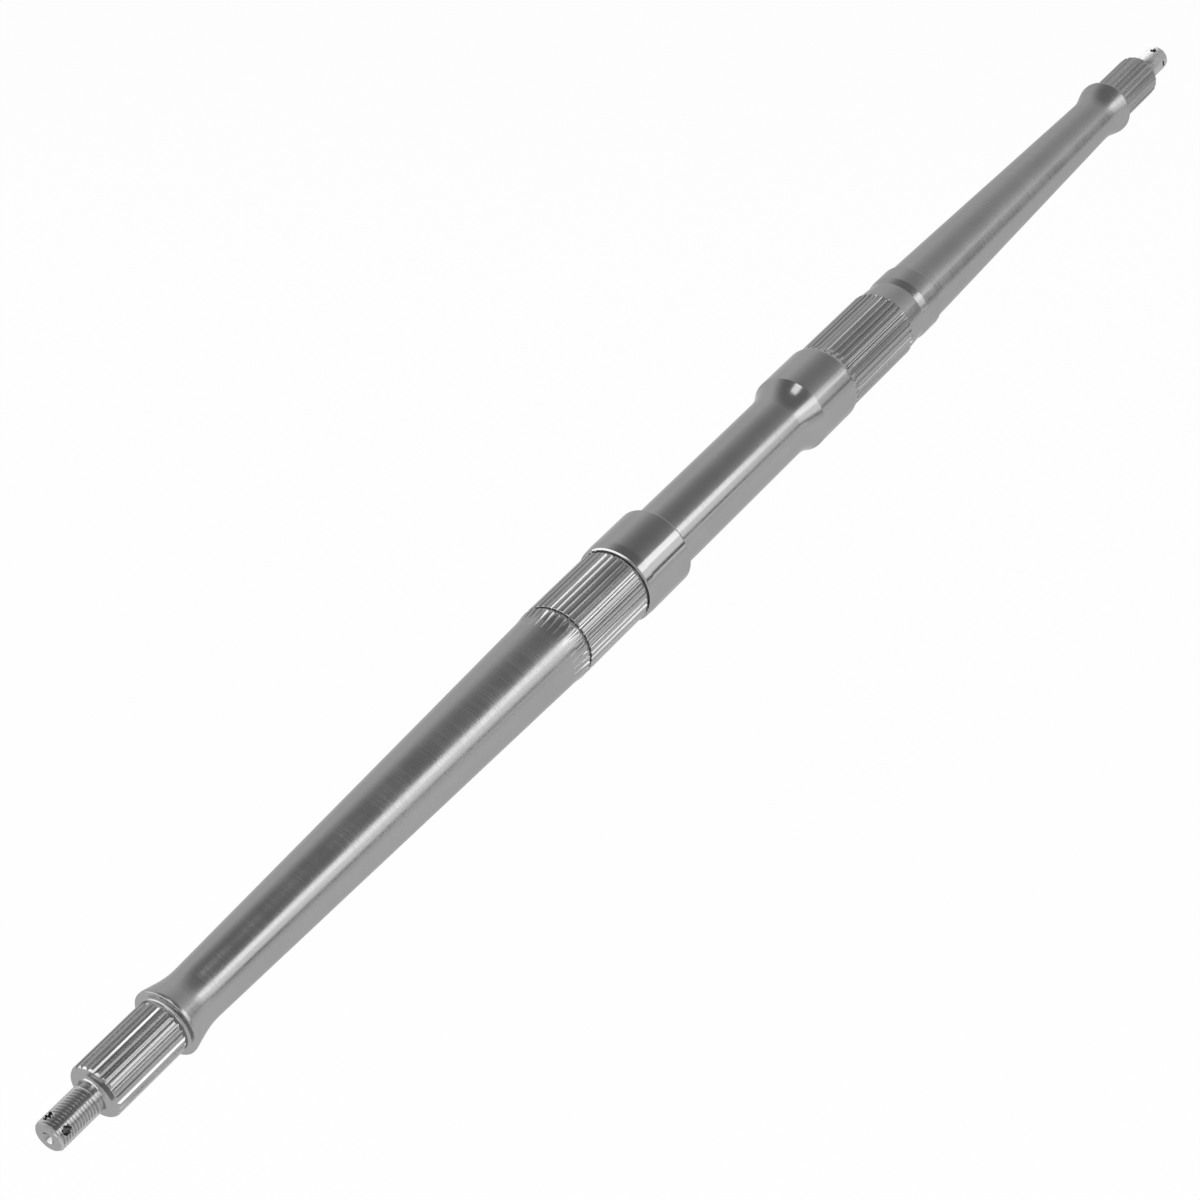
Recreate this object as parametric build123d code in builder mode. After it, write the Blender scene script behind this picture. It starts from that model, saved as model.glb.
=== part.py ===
from build123d import *
from math import acos, degrees, radians, tan
import os

# A one-piece live axle shaft, turned from bar and splined at both ends and beside both bearing seats.
# Millimetres. The shaft lies along X with the middle of its length at the origin.
# A name that ends in "_out" counts from the middle towards either end.
# Angles count round the shaft from +Z towards -Y.

overall_length = 932.0

# Threaded end stubs, each with two crossed cotter holes and a lathe centre
stub_length = 25.6
thread_diameter = 14.0
thread_chamfer = 1.0
thread_relief_diameter = 13.3
thread_relief_length = 3.8
thread_relief_fillet = 2.0
cotter_diameter = 3.8
cotter_setback = 4.8
left_cotter_angle = 58.0
right_cotter_angle = -5.0
centre_pilot_diameter = 2.4
centre_sink_diameter = 5.6
centre_sink_angle = 60.0
centre_depth = 8.0

# Hub splines, next to the stubs
hub_teeth = 24
hub_spline_diameter = 24.5
hub_seat_length = 40.4
hub_tooth_depth = 0.65
hub_gap_root_width = 0.4
hub_gap_flank_angle = 48.0
hub_gap_clearance = 0.15
hub_gap_setback = 1.5
hub_chamfer_length = 1.4
hub_chamfer_height = 0.6
hub_tooth_end_length = 1.0
hub_land_step = 0.5
hub_land_length = 1.9
hub_gap_end_radius = 5.0
left_hub_phase = 5.8
right_hub_phase = 10.0

# Flares, whose flat faces the hubs seat against
flare_face_height = 3.1
flare_rim_width = 1.4
flare_front_round = 0.4
flare_back_round = 3.0
flare_back_length = 12.2
flare_back_fillet = 40.0
flare_face_fillet = 1.2

# Tapers
flare_back_height = 3.05
left_taper_step = 0.575
right_taper_step = 1.05

# Carrier splines, beside the bearing seats and a step below them
carrier_teeth = 36
carrier_spline_step = 1.35
carrier_tooth_depth = 0.7
carrier_gap_root_width = 0.25
carrier_gap_flank_angle = 46.0
carrier_gap_clearance = 1.6
carrier_gap_end_radius = 5.0

# Left carrier spline, with a lead-in cone and a snap ring groove
left_spline_length = 47.3
left_spline_cone_length = 5.0
left_spline_cone_round = 8.0
left_gap_end_radius = 28.0
left_gap_onto_taper = 2.0
left_spline_phase = 1.3
snap_groove_width = 1.9
snap_groove_depth = 1.45
snap_groove_setback = 1.6
collar_relief_width = 1.5
collar_relief_depth = 1.35

# Bearing collars, and the neck between them
bearing_diameter = 40.0
left_collar_inner_out = 59.2
left_collar_length = 32.3
left_collar_edge_step = 1.1
left_collar_chamfer = 0.7
left_collar_lead_length = 5.2
left_collar_lead_round = 16.0
right_collar_inner_out = 61.0
right_collar_length = 28.9
right_collar_cone_length = 5.6
right_collar_round = 6.0
neck_step = 3.75
left_neck_fillet = 3.4
right_neck_fillet = 28.0
right_neck_slope = 28.9

# Right carrier spline, journal and ring
right_spline_length = 53.0
right_spline_phase = 2.0
right_gap_onto_cone = 1.0
journal_large_step = 0.5
journal_small_step = 1.5
journal_length = 13.8
journal_fillet = 2.5
ring_step = 0.8
ring_ramp_length = 4.6
ring_ramp_round = 4.0
ring_length = 12.0

# Every corner of the turned outline is (x, diameter, corner radius).

half_length = overall_length / 2
stub_start_out = half_length - stub_length
flare_face_out = stub_start_out - hub_seat_length
hub_land_diameter = hub_spline_diameter - 2 * hub_land_step
flare_diameter = hub_spline_diameter + 2 * flare_face_height
taper_small_diameter = flare_diameter - 2 * flare_back_height
carrier_spline_diameter = bearing_diameter - 2 * carrier_spline_step
left_taper_large_diameter = carrier_spline_diameter - 2 * left_taper_step
snap_groove_diameter = carrier_spline_diameter - 2 * snap_groove_depth
collar_relief_diameter = carrier_spline_diameter - 2 * collar_relief_depth
left_collar_edge_diameter = bearing_diameter - 2 * left_collar_edge_step
neck_diameter = bearing_diameter - 2 * neck_step
journal_large_diameter = carrier_spline_diameter - 2 * journal_large_step
journal_small_diameter = carrier_spline_diameter - 2 * journal_small_step
ring_diameter = carrier_spline_diameter - 2 * ring_step
right_taper_large_diameter = ring_diameter - 2 * right_taper_step
relief_end_out = stub_start_out + thread_relief_length
thread_step = (thread_diameter - thread_relief_diameter) / 2
land_end_out = flare_face_out + hub_land_length
taper_small_out = flare_face_out - flare_rim_width - flare_back_length


def end_corners(side):
    """Corners from the small end of a taper out to the shaft's end; side is -1 or 1."""
    outline = [
        (taper_small_out, taper_small_diameter, flare_back_fillet),
        (flare_face_out - flare_rim_width, flare_diameter, flare_back_round),
        (flare_face_out, flare_diameter, flare_front_round),
        (flare_face_out, hub_land_diameter, flare_face_fillet),
        (land_end_out, hub_land_diameter, 0),
        (land_end_out + hub_tooth_end_length, hub_spline_diameter, 0),
        (stub_start_out - hub_chamfer_length, hub_spline_diameter, 0),
        (stub_start_out, hub_spline_diameter - 2 * hub_chamfer_height, 0),
        (stub_start_out, thread_relief_diameter, thread_relief_fillet),
        (relief_end_out, thread_relief_diameter, 0),
        (relief_end_out + thread_step, thread_diameter, 0),
        (half_length - thread_chamfer, thread_diameter, 0),
        (half_length, thread_diameter - 2 * thread_chamfer, 0),
        (half_length, 0, 0),
    ]
    return [(side * out, diameter, corner) for out, diameter, corner in outline]


# Left of the middle, from the taper to the neck
left_collar_face = -left_collar_inner_out - left_collar_length
left_spline_end = left_collar_face - collar_relief_width
left_spline_start = left_spline_end - left_spline_length
left_taper_end = left_spline_start - left_spline_cone_length
snap_groove_start = left_spline_start + snap_groove_setback
snap_groove_end = snap_groove_start + snap_groove_width
left_lead_start = left_collar_face + left_collar_chamfer
left_lead_end = left_collar_face + left_collar_lead_length
left_lead_diameter = left_collar_edge_diameter + 2 * left_collar_chamfer

left_corners = [
    (left_taper_end, left_taper_large_diameter, 0),
    (left_spline_start, carrier_spline_diameter, left_spline_cone_round),
    (snap_groove_start, carrier_spline_diameter, 0),
    (snap_groove_start, snap_groove_diameter, 0),
    (snap_groove_end, snap_groove_diameter, 0),
    (snap_groove_end, carrier_spline_diameter, 0),
    (left_spline_end, carrier_spline_diameter, 0),
    (left_spline_end, collar_relief_diameter, 0),
    (left_collar_face, collar_relief_diameter, 0),
    (left_collar_face, left_collar_edge_diameter, 0),
    (left_lead_start, left_lead_diameter, 0),
    (left_lead_end, bearing_diameter, left_collar_lead_round),
    (-left_collar_inner_out, bearing_diameter, 0),
    (-left_collar_inner_out, neck_diameter, left_neck_fillet),
]

# Right of the middle, from the neck to the taper
neck_rise = (bearing_diameter - neck_diameter) / 2
neck_foot = right_collar_inner_out - neck_rise / tan(radians(right_neck_slope))
right_collar_end = right_collar_inner_out + right_collar_length
right_spline_start = right_collar_end + right_collar_cone_length
right_spline_end = right_spline_start + right_spline_length
journal_end = right_spline_end + journal_length
ring_start = journal_end + ring_ramp_length
ring_end = ring_start + ring_length

right_corners = [
    (neck_foot, neck_diameter, right_neck_fillet),
    (right_collar_inner_out, bearing_diameter, 0),
    (right_collar_end, bearing_diameter, right_collar_round),
    (right_spline_start, carrier_spline_diameter, 0),
    (right_spline_end, carrier_spline_diameter, 0),
    (right_spline_end, journal_large_diameter, 0),
    (journal_end, journal_small_diameter, journal_fillet),
    (ring_start, ring_diameter, ring_ramp_round),
    (ring_end, ring_diameter, 0),
    (ring_end, right_taper_large_diameter, 0),
]

corners = end_corners(-1)[::-1] + left_corners + right_corners + end_corners(1)

with BuildPart() as turned_bar:
    with BuildSketch(Plane.XZ):
        with BuildLine():
            FilletPolyline(
                *[(x, diameter / 2) for x, diameter, _ in corners],
                radius=[corner for _, _, corner in corners[1:-1]],
            )
            Line((half_length, 0), (-half_length, 0))
        make_face()
    revolve(axis=Axis.X)

    # Crossed cotter holes through both stubs
    for side, angle in ((-1, left_cotter_angle), (1, right_cotter_angle)):
        for turn in (angle, angle + 90):
            with Locations(Location((side * (half_length - cotter_setback), 0, 0), (turn, 0, 0))):
                Cylinder(cotter_diameter / 2, 2 * thread_diameter, mode=Mode.SUBTRACT)

    # Lathe centres
    for side in (-1, 1):
        with Locations(Plane(origin=(side * half_length, 0, 0), z_dir=(side, 0, 0))):
            CounterSinkHole(
                radius=centre_pilot_diameter / 2,
                counter_sink_radius=centre_sink_diameter / 2,
                depth=centre_depth,
                counter_sink_angle=centre_sink_angle,
            )


# The shape of one tooth gap: (tooth tip diameter, depth, root width, flank angle, clearance)
hub_gap = (
    hub_spline_diameter,
    hub_tooth_depth,
    hub_gap_root_width,
    hub_gap_flank_angle,
    hub_gap_clearance,
)
carrier_gap = (
    carrier_spline_diameter,
    carrier_tooth_depth,
    carrier_gap_root_width,
    carrier_gap_flank_angle,
    carrier_gap_clearance,
)


def gap_cutter(shape, start, end, start_radius=0, end_radius=0):
    """The space of one tooth gap above +Z, whose floor is level from x = start to x = end.

    At an end with a radius the floor climbs out of the shaft, as a disc cutter of that radius does.
    """
    diameter, depth, root_width, flank_angle, clearance = shape
    root = diameter / 2 - depth
    top = diameter / 2 + clearance
    half_root = root_width / 2
    half_top = half_root + (top - root) * tan(radians(flank_angle))
    section = [(-half_root, root), (half_root, root), (half_top, top), (-half_top, top)]
    with BuildPart() as cutter:
        with BuildSketch(Plane.YZ.offset(start)):
            Polygon(*section, align=None)
        extrude(amount=end - start)
        for x, radius, turn in ((start, start_radius, -1), (end, end_radius, 1)):
            if radius > 0:
                climb = degrees(acos(1 - (top - root) / radius))
                with BuildSketch(Plane.YZ.offset(x)):
                    Polygon(*section, align=None)
                revolve(axis=Axis((x, 0, root + radius), (0, -turn, 0)), revolution_arc=climb)
    return cutter.part


def gap_places(teeth, phase):
    """One turn about X for each tooth gap."""
    return Locations(*[Location((0, 0, 0), (phase + 360 * i / teeth, 0, 0)) for i in range(teeth)])


hub_gap_end_out = land_end_out + hub_gap_setback
left_hub_gap = gap_cutter(hub_gap, -half_length, -hub_gap_end_out, end_radius=hub_gap_end_radius)
right_hub_gap = gap_cutter(hub_gap, hub_gap_end_out, half_length, start_radius=hub_gap_end_radius)
left_carrier_gap = gap_cutter(
    carrier_gap,
    left_taper_end - left_gap_onto_taper,
    left_spline_end + collar_relief_width / 2,
    start_radius=left_gap_end_radius,
)
right_carrier_gap = gap_cutter(
    carrier_gap,
    right_spline_start - right_gap_onto_cone,
    right_spline_end - carrier_gap_end_radius / 2,
    start_radius=carrier_gap_end_radius,
    end_radius=carrier_gap_end_radius,
)

with BuildPart() as splined_shaft:
    add(turned_bar.part)
    with gap_places(hub_teeth, left_hub_phase):
        add(left_hub_gap, mode=Mode.SUBTRACT)
    with gap_places(hub_teeth, right_hub_phase):
        add(right_hub_gap, mode=Mode.SUBTRACT)
    with gap_places(carrier_teeth, left_spline_phase):
        add(left_carrier_gap, mode=Mode.SUBTRACT)
    with gap_places(carrier_teeth, right_spline_phase):
        add(right_carrier_gap, mode=Mode.SUBTRACT)

splined_shaft.part.label = "splined_shaft"

os.makedirs("parts", exist_ok=True)
export_step(splined_shaft.part, "parts/splined_shaft.step")
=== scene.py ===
from math import acos, ceil, cos, pi, radians, sin, tan

import bmesh
import bpy
from mathutils import Matrix, Vector


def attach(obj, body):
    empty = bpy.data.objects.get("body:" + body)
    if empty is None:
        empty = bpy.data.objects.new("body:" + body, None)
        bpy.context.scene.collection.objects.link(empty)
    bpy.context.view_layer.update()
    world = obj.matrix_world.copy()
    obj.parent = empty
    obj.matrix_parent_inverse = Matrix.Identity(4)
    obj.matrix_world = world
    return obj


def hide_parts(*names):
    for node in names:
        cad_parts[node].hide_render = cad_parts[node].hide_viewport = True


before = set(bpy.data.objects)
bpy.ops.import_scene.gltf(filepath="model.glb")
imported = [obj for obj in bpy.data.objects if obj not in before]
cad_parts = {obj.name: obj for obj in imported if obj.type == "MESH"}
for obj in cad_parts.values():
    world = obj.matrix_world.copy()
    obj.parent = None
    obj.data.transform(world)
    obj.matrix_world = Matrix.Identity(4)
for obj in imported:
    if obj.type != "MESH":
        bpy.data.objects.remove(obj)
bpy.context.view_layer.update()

mm = 0.001
print("frame loaded")


def deselectAll():
    if bpy.context.object and bpy.context.object.mode != "OBJECT":
        bpy.ops.object.mode_set(mode="OBJECT")
    bpy.ops.object.select_all(action="DESELECT")


def pick(piece):
    deselectAll()
    piece.select_set(True)
    bpy.context.view_layer.objects.active = piece


def applyModifier(piece, kind, **settings):
    pick(piece)
    modifier = piece.modifiers.new(kind.lower(), kind)
    for name, value in settings.items():
        setattr(modifier, name, value)
    bpy.ops.object.modifier_apply(modifier=modifier.name)


# The piece's volume in cubic metres, or 0 where its mesh is open.
def closedVolume(piece):
    mesh = bmesh.new()
    mesh.from_mesh(piece.data)
    volume = mesh.calc_volume() if all(edge.is_manifold for edge in mesh.edges) else 0
    mesh.free()
    return volume


# The new faces take the cutter's material. A cut that leaves the piece open, or takes more than a cut
# can, is made again with the cutter a hair further along.
def cutAway(piece, cutter, material):
    cutter.data.materials.clear()
    cutter.data.materials.append(material)
    before = piece.data.copy()
    least = 0.98 * closedVolume(piece)
    for attempt in range(6):
        applyModifier(
            piece, "BOOLEAN", operation="DIFFERENCE", solver="EXACT", material_mode="TRANSFER",
            object=cutter)
        if closedVolume(piece) > least:
            break
        piece.data = before.copy()
        cutter.location.x += 0.002 * mm
    else:
        raise RuntimeError("a cut left the shaft open")
    print("cut closed at attempt", attempt + 1)
    bpy.data.objects.remove(cutter)


# Leaves the piece in edit mode with only the faces that wanted says selected.
def selectFaces(piece, wanted):
    bpy.ops.object.mode_set(mode="EDIT")
    bpy.ops.mesh.select_mode(type="FACE")
    bpy.ops.mesh.select_all(action="DESELECT")
    bpy.ops.object.mode_set(mode="OBJECT")
    for face in piece.data.polygons:
        face.select = wanted(face)
    bpy.ops.object.mode_set(mode="EDIT")


# A new mesh of one selected vertex at x, y, z in mm, left in edit mode.
def startPoint(x, y, z):
    deselectAll()
    bpy.ops.mesh.primitive_plane_add(size=mm)
    bpy.ops.object.mode_set(mode="EDIT")
    bpy.ops.mesh.select_mode(type="VERT")
    bpy.ops.mesh.select_all(action="SELECT")
    bpy.ops.mesh.merge(type="CENTER")
    bpy.ops.transform.translate(value=(x * mm, y * mm, z * mm))
    return bpy.context.object


# Merges doubles, turns the faces outwards and leaves edit mode.
def closeUp():
    bpy.ops.mesh.select_all(action="SELECT")
    bpy.ops.mesh.remove_doubles(threshold=1e-6)
    bpy.ops.mesh.normals_make_consistent(inside=False)
    bpy.ops.object.mode_set(mode="OBJECT")


# Corners are (x, diameter, corner radius) in mm; "out" counts from the middle to either end.

bar = {
    "sides": 216,
    "arcStep": radians(7),
    "guard": 0.5,               # extra ring this far inside the ends of a long straight, for clean shading
    "halfLength": 466.0,
    "stubStart": 440.4,
    "centrePilot": 2.4,
    "centreSink": 5.6,
    "centreDepth": 8.0,
    "sinkFlank": radians(30),
    "flareFace": 400.0,
}


def linearColour(hexText):
    def linear(part):
        value = int(part, 16) / 255
        return value / 12.92 if value <= 0.04045 else ((value + 0.055) / 1.055) ** 2.4
    return tuple(linear(hexText[i:i + 2]) for i in (1, 3, 5)) + (1.0,)


# Adds a node, sets its properties and fills its inputs with values or with output sockets.
def addNode(tree, kind, settings=None, inputs=None):
    node = tree.nodes.new(kind)
    for name, value in (settings or {}).items():
        setattr(node, name, value)
    for name, value in (inputs or {}).items():
        if isinstance(value, bpy.types.NodeSocket):
            tree.links.new(value, node.inputs[name])
        else:
            node.inputs[name].default_value = value
    return node


def newMaterial(name):
    material = bpy.data.materials.new(name)
    material.use_nodes = True
    material.node_tree.nodes.clear()
    return material


# Carbon steel bar. Turned and ground: a satin grey with fine rings round the shaft, mirror-like only on
# the two bearing collars. The flanks of the left splines and of both threads get a lighter grey: painted
# highlight for the bright reflections there, with a roughness of its own.
steel = {
    "turnedColours": ("#9C9C9C", "#A9A9A9"),
    "paintedHighlightColours": ("#B4B4B4", "#C4C4C4"),
    "paintedHighlightRoughness": (0.18, 0.30),
    "edgeTint": (0.75, 0.75, 0.75, 1),
    # x in mm and roughness there: tapers are left as turned, collars are ground, the right end is dullest
    "roughness": (
        (-466, 0.22), (-152, 0.24), (-146, 0.17), (-91, 0.12), (-59, 0.12), (-54, 0.18), (40, 0.20),
        (61, 0.17), (92, 0.18), (150, 0.22), (230, 0.27), (466, 0.30)),
    "ringsPerMetre": 1800,      # feed marks nearer 0.2 mm, drawn at about 0.6 mm so that they show
    "blotchesPerMetre": 45,     # handling marks about 20 mm across
    "nicksPerMetre": 420,       # small dents 2 to 3 mm apart, few of them deep
}


def barSteel(name, colours, roughness):
    material = newMaterial(name)
    tree = material.node_tree
    spot = addNode(tree, "ShaderNodeTexCoord").outputs["Object"]
    rings = addNode(tree, "ShaderNodeMapping", inputs={
        "Vector": spot, "Scale": (steel["ringsPerMetre"], 30, 30)})
    ringNoise = addNode(tree, "ShaderNodeTexNoise", {"noise_dimensions": "3D"}, {
        "Vector": rings.outputs["Vector"], "Scale": 1.0, "Detail": 3.0, "Roughness": 0.6})
    blotches = addNode(tree, "ShaderNodeTexNoise", inputs={
        "Vector": spot, "Scale": steel["blotchesPerMetre"], "Detail": 4.0, "Roughness": 0.55})
    nicks = addNode(tree, "ShaderNodeTexNoise", inputs={
        "Vector": spot, "Scale": steel["nicksPerMetre"], "Detail": 2.0})
    dents = addNode(tree, "ShaderNodeMapRange", inputs={
        "Value": nicks.outputs["Fac"], "From Min": 0.66, "From Max": 0.78, "To Min": 0.0, "To Max": -1.2})
    relief = addNode(tree, "ShaderNodeMath", {"operation": "ADD"}, {
        0: ringNoise.outputs["Fac"], 1: dents.outputs["Result"]})
    bump = addNode(tree, "ShaderNodeBump", inputs={
        "Strength": 0.14, "Distance": 0.00005, "Height": relief.outputs[0]})

    along = addNode(tree, "ShaderNodeSeparateXYZ", inputs={"Vector": spot}).outputs["X"]
    low, high = roughness[0][0], roughness[-1][0]
    share = addNode(tree, "ShaderNodeMapRange", inputs={
        "Value": along, "From Min": low * mm, "From Max": high * mm})
    ramp = addNode(tree, "ShaderNodeValToRGB", inputs={"Fac": share.outputs["Result"]})
    stops = ramp.color_ramp.elements
    while len(stops) < len(roughness):
        stops.new(0.5)
    for stop, (x, value) in zip(stops, roughness):
        stop.position = (x - low) / (high - low)
        stop.color = (value, value, value, 1)
    grain = addNode(tree, "ShaderNodeMapRange", inputs={
        "Value": ringNoise.outputs["Fac"], "From Min": 0.3, "From Max": 0.7, "To Min": 0.8, "To Max": 1.25})
    worn = addNode(tree, "ShaderNodeMapRange", inputs={
        "Value": blotches.outputs["Fac"], "From Min": 0.35, "From Max": 0.65, "To Min": 0.88, "To Max": 1.15})
    grained = addNode(tree, "ShaderNodeMath", {"operation": "MULTIPLY"}, {
        0: ramp.outputs["Color"], 1: grain.outputs["Result"]})
    rough = addNode(tree, "ShaderNodeMath", {"operation": "MULTIPLY"}, {
        0: grained.outputs[0], 1: worn.outputs["Result"]})
    colour = addNode(tree, "ShaderNodeMix", {"data_type": "RGBA"}, {
        "Factor": blotches.outputs["Fac"]})
    colour.inputs[6].default_value = linearColour(colours[0])
    colour.inputs[7].default_value = linearColour(colours[1])
    shader = addNode(tree, "ShaderNodeBsdfPrincipled", inputs={
        "Base Color": colour.outputs[2], "Metallic": 1.0, "Specular Tint": steel["edgeTint"],
        "Roughness": rough.outputs[0], "Normal": bump.outputs["Normal"]})
    addNode(tree, "ShaderNodeOutputMaterial", inputs={"Surface": shader.outputs["BSDF"]})
    return material


groundSteel = barSteel("groundSteel", steel["turnedColours"], steel["roughness"])
# A lighter grey than the ground steel, as painted highlight on the left splines and both threads.
paintedHighlightSteel = barSteel("paintedHighlightSteel", steel["paintedHighlightColours"], tuple(
    zip((-bar["halfLength"], bar["halfLength"]), steel["paintedHighlightRoughness"])))
print("steel made")


def endCorners(side):
    end = bar["halfLength"]
    stub = bar["stubStart"]
    face = bar["flareFace"]
    sinkDepth = (bar["centreSink"] - bar["centrePilot"]) / 2 / tan(bar["sinkFlank"])
    outline = [
        (face - 13.6, 24.6, 40.0),
        (face - 1.4, 30.7, 3.0),
        (face, 30.7, 0.4),
        (face, 23.5, 1.2),
        (face + 1.9, 23.5, 0.0),
        (face + 2.9, 24.5, 0.0),
        (stub - 0.9, 24.5, 0.2),
        (stub, 23.35, 0.15),
        (stub, 13.3, 2.0),
        (stub + 3.8, 13.3, 0.0),
        (stub + 4.15, 14.0, 0.0),
        (end - 1.0, 14.0, 0.0),
        (end, 12.0, 0.1),
        (end, bar["centreSink"], 0.1),
        (end - sinkDepth, bar["centrePilot"], 0.0),
        (end - bar["centreDepth"], bar["centrePilot"], 0.0),
        (end - bar["centreDepth"], 0.0, 0.0),
    ]
    return [(side * x, diameter, rounding) for x, diameter, rounding in outline]


middleCorners = [
    (-145.3, 36.15, 0.0),       # left taper meets the spline's lead-in cone
    (-140.3, 37.3, 8.0),
    (-138.7, 37.3, 0.1),        # snap ring groove
    (-138.7, 34.4, 0.1),
    (-136.8, 34.4, 0.1),
    (-136.8, 37.3, 0.5),
    (-93.0, 37.3, 0.1),
    (-93.0, 34.6, 0.2),         # relief in front of the left collar
    (-91.5, 34.6, 0.2),
    (-91.5, 37.8, 0.15),
    (-90.8, 39.2, 0.15),
    (-86.3, 40.0, 16.0),        # left bearing collar
    (-59.2, 40.0, 0.3),
    (-59.2, 32.5, 3.4),
    (54.206, 32.5, 28.0),       # neck climbs to the right collar
    (61.0, 40.0, 0.4),
    (89.9, 40.0, 6.0),
    (95.5, 37.3, 0.0),
    (148.5, 37.3, 0.15),
    (148.5, 36.3, 0.1),         # journal
    (162.3, 34.3, 2.5),
    (166.9, 35.7, 4.0),
    (178.9, 35.7, 0.25),
    (178.9, 33.6, 0.2),
]


# Points along the outline in mm: corners rounded, guard rings on long straights.
def roundedOutline(corners):
    spots = [Vector((x, diameter / 2)) for x, diameter, _ in corners]
    points = [spots[0]]
    for before, here, after, corner in zip(spots, spots[1:], spots[2:], corners[1:]):
        rounding = corner[2]
        if rounding == 0:
            points.append(here)
            continue
        back = (before - here).normalized()
        ahead = (after - here).normalized()
        turn = pi - back.angle(ahead)
        centre = here + (back + ahead).normalized() * rounding / cos(turn / 2)
        arm = here + back * rounding * tan(turn / 2) - centre
        steps = max(5, ceil(turn / bar["arcStep"])) if rounding > 0.5 else 3
        way = 1 if back.x * ahead.y - back.y * ahead.x < 0 else -1
        for i in range(steps + 1):
            points.append(centre + Matrix.Rotation(way * turn * i / steps, 2) @ arm)
    points.append(spots[-1])
    guarded = [points[0]]
    for here, after in zip(points, points[1:]):
        run = after - here
        if run.length > 6 * bar["guard"]:
            guarded.append(here + run.normalized() * bar["guard"])
            guarded.append(after - run.normalized() * bar["guard"])
        guarded.append(after)
    return guarded


def turnBar(name, corners):
    points = roundedOutline(corners)
    piece = startPoint(points[0].x, 0, points[0].y)
    piece.name = name
    for here, after in zip(points, points[1:]):
        step = (after - here) * mm
        bpy.ops.mesh.extrude_vertices_move(TRANSFORM_OT_translate={"value": (step.x, 0, step.y)})
    bpy.ops.mesh.select_all(action="SELECT")
    bpy.ops.mesh.spin(steps=bar["sides"], angle=2 * pi, center=(0, 0, 0), axis=(1, 0, 0))
    closeUp()
    return piece


shaft = turnBar("splinedShaft", endCorners(-1)[::-1] + middleCorners + endCorners(1))
shaft.data.materials.append(groundSteel)
print("bar turned:", len(shaft.data.polygons), "faces")


hubGap = {
    "teeth": 24, "tip": 12.25, "depth": 0.65, "rootWidth": 0.4, "flank": 48.0, "edge": 0.06, "clearance": 0.15}
carrierGap = {
    "teeth": 36, "tip": 18.65, "depth": 0.7, "rootWidth": 0.5, "flank": 43.0, "edge": 0.06, "clearance": 1.6}

# The left two splines' cut faces take the lighter steel with painted highlight; the right two take the ground
# steel.
splines = [
    {"gap": hubGap, "start": -467.0, "end": -403.4, "startRadius": 0, "endRadius": 5.0, "phase": 5.8,
     "cutMaterial": paintedHighlightSteel},
    {"gap": carrierGap, "start": -149.0, "end": -92.25, "startRadius": 28.0, "endRadius": 0, "phase": 1.3,
     "cutMaterial": paintedHighlightSteel},
    {"gap": carrierGap, "start": 94.5, "end": 146.0, "startRadius": 5.0, "endRadius": 5.0, "phase": 2.0,
     "cutMaterial": groundSteel},
    {"gap": hubGap, "start": 403.4, "end": 467.0, "startRadius": 5.0, "endRadius": 0, "phase": 10.0,
     "cutMaterial": groundSteel},
]


# The space of one tooth gap over +Z, its floor climbing out at an end with a radius, copied round.
def gapCutter(spline):
    gap = spline["gap"]
    root = gap["tip"] - gap["depth"]
    slope = tan(radians(gap["flank"]))
    edge = gap["edge"]
    halfRoot = gap["rootWidth"] / 2
    halfTip = halfRoot + (gap["depth"] - edge) * slope
    top = gap["tip"] + gap["clearance"]
    levels = [
        (halfRoot, root),
        (halfTip, gap["tip"] - edge),
        (halfTip + 3 * edge, gap["tip"] + edge / 2),     # breaks the tooth's edge
        (halfTip + 4 * edge, top),
    ]

    cutter = startPoint(spline["start"], -halfRoot, root)
    bpy.ops.mesh.extrude_vertices_move(TRANSFORM_OT_translate={"value": (0, 2 * halfRoot * mm, 0)})
    bpy.ops.mesh.select_all(action="SELECT")
    for (halfWidth, height), (nextHalfWidth, nextHeight) in zip(levels, levels[1:]):
        rise = (nextHeight - height) * mm
        bpy.ops.mesh.extrude_edges_move(TRANSFORM_OT_translate={"value": (0, 0, rise)})
        middle = (spline["start"] * mm, 0, nextHeight * mm)
        bpy.ops.transform.resize(value=(1, nextHalfWidth / halfWidth, 1), center_override=middle)
    bpy.ops.mesh.select_all(action="SELECT")
    length = (spline["end"] - spline["start"]) * mm
    bpy.ops.mesh.extrude_region_move(TRANSFORM_OT_translate={"value": (length, 0, 0)})
    runOuts = ((spline["start"], spline["startRadius"], -1), (spline["end"], spline["endRadius"], 1))
    for x, radius, way in runOuts:
        if radius:
            climb = acos(1 - (top - root) / radius)
            selectFaces(cutter, lambda face: (
                abs(face.center.x - x * mm) < 1e-6 and abs(face.normal.x) > 0.9))
            bpy.ops.mesh.spin(
                steps=10, angle=way * climb, center=(x * mm, 0, (root + radius) * mm), axis=(0, 1, 0))
    bpy.ops.mesh.select_all(action="SELECT")
    turn = 2 * pi / gap["teeth"]
    bpy.ops.mesh.spin(
        steps=gap["teeth"] - 1, angle=2 * pi - turn, dupli=True, center=(0, 0, 0), axis=(1, 0, 0))
    bpy.ops.mesh.select_all(action="SELECT")
    bpy.ops.mesh.normals_make_consistent(inside=False)
    bpy.ops.object.mode_set(mode="OBJECT")
    cutter.rotation_euler.x = radians(spline["phase"])
    bpy.ops.object.transform_apply(location=True, rotation=True)
    return cutter


for spline in splines:
    cutAway(shaft, gapCutter(spline), spline["cutMaterial"])
print("splines cut:", len(shaft.data.polygons), "faces")


thread = {
    "pitch": 1.5,
    "crest": 7.0,
    "root": 6.08,
    "rootWidth": 0.2,
    "overshoot": 0.06,
    "flank": radians(30),
    "stepsPerTurn": 72,
    "innerEnd": 444.6,          # where the last turn has faded out
    "fade": 1.2,                # length over which it climbs out of the stub
}


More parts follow.
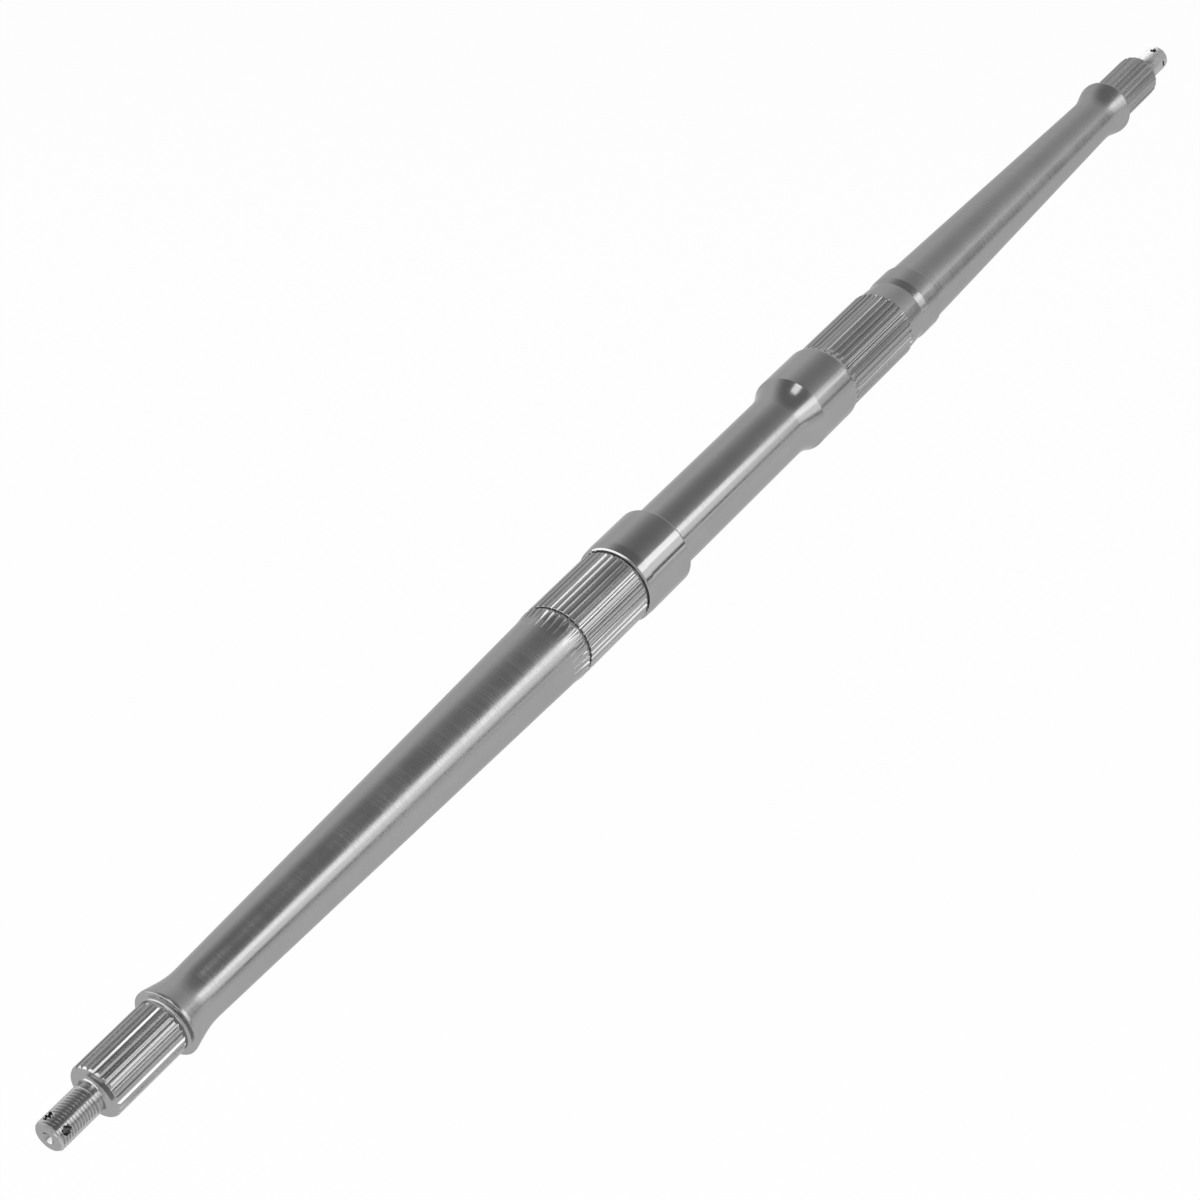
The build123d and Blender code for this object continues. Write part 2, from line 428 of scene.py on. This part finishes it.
# A helical groove over one stub, fading out towards the spline.
def threadCutter(side):
    halfRoot = thread["rootWidth"] / 2
    top = thread["crest"] + thread["overshoot"]
    halfTop = halfRoot + (top - thread["root"]) * tan(thread["flank"])
    inner = side * thread["innerEnd"]
    outer = side * (bar["halfLength"] + thread["pitch"])
    low, high = sorted((inner, outer))
    cutter = startPoint(low - halfRoot, 0, thread["root"])
    for x, z in ((2 * halfRoot, 0), (halfTop - halfRoot, top - thread["root"]), (-2 * halfTop, 0)):
        bpy.ops.mesh.extrude_vertices_move(TRANSFORM_OT_translate={"value": (x * mm, 0, z * mm)})
    bpy.ops.mesh.select_all(action="SELECT")
    bpy.ops.mesh.edge_face_add()
    bpy.ops.mesh.delete(type="ONLY_FACE")
    bpy.ops.object.mode_set(mode="OBJECT")
    turns = ceil((high - low) / thread["pitch"])
    applyModifier(
        cutter, "SCREW", axis="X", angle=2 * pi, screw_offset=thread["pitch"] * mm, iterations=turns,
        steps=thread["stepsPerTurn"], render_steps=thread["stepsPerTurn"])
    bpy.ops.object.mode_set(mode="EDIT")
    bpy.ops.mesh.select_all(action="SELECT")
    bpy.ops.mesh.remove_doubles(threshold=1e-7)
    bpy.ops.mesh.select_all(action="DESELECT")
    bpy.ops.mesh.select_mode(type="EDGE")
    bpy.ops.mesh.select_non_manifold()
    bpy.ops.mesh.fill_holes(sides=0)
    bpy.ops.mesh.select_all(action="SELECT")
    bpy.ops.mesh.normals_make_consistent(inside=False)
    bpy.ops.object.mode_set(mode="OBJECT")
    for vertex in cutter.data.vertices:
        past = thread["innerEnd"] + thread["fade"] - abs(vertex.co.x) / mm
        if past > 0:
            out = Vector((0, vertex.co.y, vertex.co.z)).normalized()
            vertex.co += out * past * mm
    return cutter


# Both threads' cut faces take the lighter steel with painted highlight.
for side in (-1, 1):
    cutAway(shaft, threadCutter(side), paintedHighlightSteel)
print("threads cut:", len(shaft.data.polygons), "faces")


cotter = {"diameter": 3.8, "setback": 4.8, "halfReach": 8.0, "angles": {-1: 58.0, 1: -5.0}}


# A pin across one stub. Its facets are turned by facetTurn, so that those of two crossing pins don't meet
# corner to corner.
def cotterCutter(side, angle, facetTurn):
    radius = cotter["diameter"] / 2
    cutter = startPoint(0, 0, -cotter["halfReach"])
    for x, z in ((radius, 0), (0, 2 * cotter["halfReach"]), (-radius, 0)):
        bpy.ops.mesh.extrude_vertices_move(TRANSFORM_OT_translate={"value": (x * mm, 0, z * mm)})
    bpy.ops.mesh.select_all(action="SELECT")
    bpy.ops.mesh.spin(steps=48, angle=2 * pi, center=(0, 0, 0), axis=(0, 0, 1))
    closeUp()
    cutter.rotation_euler.z = radians(facetTurn)
    bpy.ops.object.transform_apply(location=True, rotation=True)
    cutter.location.x = side * (bar["halfLength"] - cotter["setback"]) * mm
    cutter.rotation_euler.x = radians(angle)
    bpy.ops.object.transform_apply(location=True, rotation=True)
    return cutter


# The two crossing pins of an end are joined first, so that one cut makes both holes.
for side, angle in cotter["angles"].items():
    pins = cotterCutter(side, angle, 1.3)
    crossing = cotterCutter(side, angle + 90, 3.55)
    applyModifier(pins, "BOOLEAN", operation="UNION", solver="EXACT", object=crossing)
    bpy.data.objects.remove(crossing)
    cutAway(shaft, pins, groundSteel)
print("cotter holes cut:", len(shaft.data.polygons), "faces")

pick(shaft)
bpy.ops.object.shade_smooth_by_angle(angle=radians(35))


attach(shaft, "root")
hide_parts("splined_shaft")
print("shaft done:", sum(len(face.vertices) - 2 for face in shaft.data.polygons), "triangles")


studio = {
    "lookAt": (-0.1032, 0, 0),
    "cameraAt": (-0.910, -0.5403, 0.8369),
    "lens": 86.46,
    "floorBelow": 0.30,
    "floorSize": 12.0,
    "floorSeen": 0.95,
    "floorMirrored": 0.75,
    "ceilingHeights": (0.35, 0.85),
    "ceilingStrengths": (0.82, 0.25),
}


def lookFrom(thing, place, target):
    thing.location = place
    thing.rotation_euler = (Vector(target) - Vector(place)).to_track_quat("-Z", "Y").to_euler()


camera = bpy.data.objects.new("camera", bpy.data.cameras.new("camera"))
bpy.context.collection.objects.link(camera)
camera.data.lens = studio["lens"]
camera.data.sensor_width = 36.0
lookFrom(camera, studio["cameraAt"], studio["lookAt"])
bpy.context.scene.camera = camera


# The eye sees plain white, and glossy and transmission rays see nearly as much of it.
def floorWhite():
    material = newMaterial("floorWhite")
    tree = material.node_tree
    matt = addNode(tree, "ShaderNodeBsdfDiffuse", inputs={"Color": (0.9, 0.9, 0.9, 1)})
    plain = addNode(tree, "ShaderNodeEmission", inputs={"Color": (1, 1, 1, 1), "Strength": 1.0})
    path = addNode(tree, "ShaderNodeLightPath")
    mirrored = addNode(tree, "ShaderNodeMath", {"operation": "MAXIMUM"}, {
        0: path.outputs["Is Glossy Ray"], 1: path.outputs["Is Transmission Ray"]})
    mirroredShare = addNode(tree, "ShaderNodeMath", {"operation": "MULTIPLY"}, {
        0: mirrored.outputs[0], 1: studio["floorMirrored"]})
    share = addNode(tree, "ShaderNodeMix", {"data_type": "FLOAT"}, {
        "Factor": path.outputs["Is Camera Ray"], "A": mirroredShare.outputs[0], "B": studio["floorSeen"]})
    mix = addNode(tree, "ShaderNodeMixShader", inputs={
        0: share.outputs["Result"], 1: matt.outputs["BSDF"], 2: plain.outputs["Emission"]})
    addNode(tree, "ShaderNodeOutputMaterial", inputs={"Surface": mix.outputs["Shader"]})
    return material


deselectAll()
bpy.ops.mesh.primitive_plane_add(size=studio["floorSize"], location=(0, 0, -studio["floorBelow"]))
floor = bpy.context.object
floor.name = "floor"
floor.data.materials.append(floorWhite())

world = bpy.data.worlds.new("studio")
bpy.context.scene.world = world
world.use_nodes = True
tree = world.node_tree
tree.nodes.clear()
heading = addNode(tree, "ShaderNodeTexCoord").outputs["Generated"]
height = addNode(tree, "ShaderNodeSeparateXYZ", inputs={"Vector": heading}).outputs["Z"]
ceiling = addNode(tree, "ShaderNodeMapRange", {"interpolation_type": "SMOOTHSTEP"}, {
    "Value": height, "From Min": studio["ceilingHeights"][0], "From Max": studio["ceilingHeights"][1],
    "To Min": studio["ceilingStrengths"][0], "To Max": studio["ceilingStrengths"][1]})
path = addNode(tree, "ShaderNodeLightPath")
strength = addNode(tree, "ShaderNodeMix", {"data_type": "FLOAT"}, {
    "Factor": path.outputs["Is Camera Ray"], "A": ceiling.outputs["Result"], "B": 1.0})
sky = addNode(tree, "ShaderNodeBackground", inputs={
    "Color": (1, 1, 1, 1), "Strength": strength.outputs["Result"]})
addNode(tree, "ShaderNodeOutputWorld", inputs={"Surface": sky.outputs["Background"]})

# Lamps and cards stand in rows alongside the shaft; an angle is counted round it from straight up
# towards -Y. A lamp adds its radiance to the room behind it, and a card hides the room with its own.
panelDistance = 2.0
lamps = {
    "key": {"x": (-0.6, 2.0), "angles": (39, 57), "radiance": 1.76},
    "keyMiddle": {"x": (2.0, 2.4), "angles": (50, 57), "radiance": 0.9},
    "keyFar": {"x": (2.4, 3.8), "angles": (50, 57), "radiance": 0.25},
    "low": {"x": (-0.6, 2.0), "angles": (58, 75), "radiance": 0.68},
    "horizon": {"x": (1.1, 2.0), "angles": (84.5, 90), "radiance": 0.5},
    "overhead": {"x": (-2.6, -0.9), "angles": (-90, 35), "radiance": 1.9},
    "skylight": {"x": (-0.5, 0.35), "angles": (-12, 6), "radiance": 1.7},
}
cards = {
    "darkNear": {"x": (-0.6, 2.0), "angles": (77.5, 83.5), "radiance": 0.15},
    "greyMiddle": {"x": (2.0, 2.45), "angles": (59, 78), "radiance": 0.6},
    "darkMiddle": {"x": (2.0, 2.45), "angles": (78, 84), "radiance": 0.2},
    "greyFar": {"x": (2.45, 3.8), "angles": (59, 85), "radiance": 0.5},
    "darkFar": {"x": (2.45, 3.8), "angles": (85, 96), "radiance": 0.25},
}


def panelSpan(panel):
    low, high = panel["angles"]
    middle = radians((low + high) / 2)
    place = (sum(panel["x"]) / 2, -panelDistance * sin(middle), panelDistance * cos(middle))
    length = panel["x"][1] - panel["x"][0]
    return place, middle, length, 2 * panelDistance * tan(radians(high - low) / 2)


def cardGrey(name, radiance):
    material = newMaterial(name)
    tree = material.node_tree
    glow = addNode(tree, "ShaderNodeEmission", inputs={"Color": (1, 1, 1, 1), "Strength": radiance})
    addNode(tree, "ShaderNodeOutputMaterial", inputs={"Surface": glow.outputs["Emission"]})
    return material


for name, panel in lamps.items():
    place, turn, length, width = panelSpan(panel)
    lamp = bpy.data.lights.new(name, "AREA")
    lamp.shape = "RECTANGLE"
    lamp.size = length
    lamp.size_y = width
    lamp.energy = panel["radiance"] * pi * length * width
    stand = bpy.data.objects.new(name, lamp)
    bpy.context.collection.objects.link(stand)
    stand.location = place
    stand.rotation_euler.x = turn
    stand.visible_camera = False

for name, panel in cards.items():
    place, turn, length, width = panelSpan(panel)
    deselectAll()
    bpy.ops.mesh.primitive_plane_add(size=1, location=place, rotation=(turn, 0, 0))
    card = bpy.context.object
    card.name = name
    card.scale = (length, width, 1)
    card.data.materials.append(cardGrey(name, panel["radiance"]))
    card.visible_camera = False

bpy.context.scene.view_settings.view_transform = "Standard"

print("studio ready")
